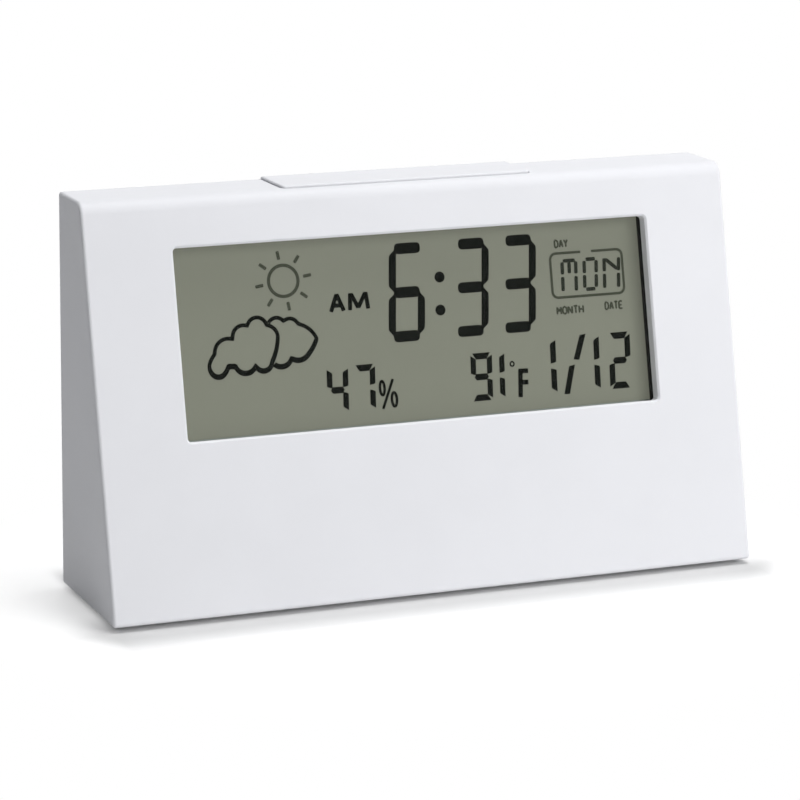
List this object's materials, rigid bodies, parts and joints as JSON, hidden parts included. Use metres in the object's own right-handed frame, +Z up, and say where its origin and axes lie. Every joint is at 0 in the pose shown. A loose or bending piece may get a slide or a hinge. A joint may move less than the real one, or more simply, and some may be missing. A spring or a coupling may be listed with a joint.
{
  "type": "thermometer hygrometer clock",
  "caption": "White wedge-shaped desk clock with a large leaning liquid-crystal display for time, day, date, temperature and humidity, a press bar on top and setting keys behind.",
  "frame": {"origin": "middle of the clock's outline on the surface that it stands on, under the feet", "axes": "+X to the viewer's right, +Y to the back, +Z up"},
  "size_m": [0.14, 0.0358, 0.0835],
  "materials": {
    "white_case": "fine satin moulding",
    "grey_key": "satin",
    "black_foam": "matt",
    "foot_rubber": "matt",
    "clear_lens": "polished",
    "display_film": "satin",
    "display_glass": "polished",
    "reflector": "satin",
    "light_guide": "polished edges",
    "lamp": "gloss",
    "zebra": "matt",
    "frame_plastic": "matt",
    "board": "solder mask",
    "black_plastic": "satin",
    "sensor": "matt",
    "steel": "plated",
    "contact_metal": "nickel plated",
    "cell": "sleeved can",
    "red_wire": "satin",
    "black_wire": "satin",
    "ribbon": "satin"
  },
  "bodies": {
    "case": {"alarm_switch": "black_plastic", "backlight_led": "lamp", "battery_lead_black": "black_wire", "battery_lead_red": "red_wire", "battery_lower": "cell", "battery_upper": "cell", "board_screws": "steel", "buzzer": "black_plastic", "case_screws": "steel", "contact_link": "contact_metal", "contact_negative": "contact_metal", "contact_positive": "contact_metal", "controller_blob": "black_plastic", "display_frame": "frame_plastic", "display_gasket": "black_foam", "display_lens": "clear_lens", "down_switch": "black_plastic", "foot_front_left": "foot_rubber", "foot_front_right": "foot_rubber", "foot_rear_left": "foot_rubber", "foot_rear_right": "foot_rubber", "front_housing": "white_case", "humidity_sensor": "sensor", "key_board": "board", "key_board_screws": "steel", "key_ribbon": "ribbon", "lcd_front_glass": "display_glass", "lcd_front_polariser": "display_film", "lcd_rear_glass": "display_glass", "lcd_reflector": "reflector", "light_guide": "light_guide", "main_board": "board", "mode_switch": "black_plastic", "quartz_crystal": "steel", "rear_cover": "white_case", "snooze_switch": "black_plastic", "spring_lower": "contact_metal", "spring_upper": "contact_metal", "thermistor": "black_plastic", "unit_switch": "black_plastic", "up_switch": "black_plastic", "zebra_strip": "zebra"},
    "snooze_key": {"snooze_bar": "white_case", "snooze_plunger": "grey_key"},
    "door": {"battery_door": "white_case"},
    "mode_key": {"mode_button": "grey_key", "mode_plunger": "grey_key"},
    "alarm_key": {"alarm_button": "grey_key", "alarm_plunger": "grey_key"},
    "up_key": {"up_button": "grey_key", "up_plunger": "grey_key"},
    "down_key": {"down_button": "grey_key", "down_plunger": "grey_key"},
    "unit_key": {"unit_button": "grey_key", "unit_plunger": "grey_key"}
  },
  "joints": [
    {"name": "snooze_press", "type": "slide", "parent": "case", "child": "snooze_key", "axis": [0, 0, -1], "range_m": [0, 0.0005], "stiffness_N_per_m": 700, "springref_m": -0.0002},
    {"name": "mode_press", "type": "slide", "parent": "case", "child": "mode_key", "axis": [0, -0.9992, -0.039], "range_m": [0, 0.0005], "stiffness_N_per_m": 700, "springref_m": -0.0002},
    {"name": "alarm_press", "type": "slide", "parent": "case", "child": "alarm_key", "axis": [0, -0.9992, -0.039], "range_m": [0, 0.0005], "stiffness_N_per_m": 700, "springref_m": -0.0002},
    {"name": "up_press", "type": "slide", "parent": "case", "child": "up_key", "axis": [0, -0.9992, -0.039], "range_m": [0, 0.0005], "stiffness_N_per_m": 700, "springref_m": -0.0002},
    {"name": "down_press", "type": "slide", "parent": "case", "child": "down_key", "axis": [0, -0.9992, -0.039], "range_m": [0, 0.0005], "stiffness_N_per_m": 700, "springref_m": -0.0002},
    {"name": "unit_press", "type": "slide", "parent": "case", "child": "unit_key", "axis": [0, -0.9992, -0.039], "range_m": [0, 0.0005], "stiffness_N_per_m": 700, "springref_m": -0.0002},
    {"name": "battery_door_hinge", "type": "hinge", "parent": "case", "child": "door", "pos_m": [0, 0.01699, 0.00642], "axis": [-1, 0, 0], "range_deg": [0, 80]}
  ]
}
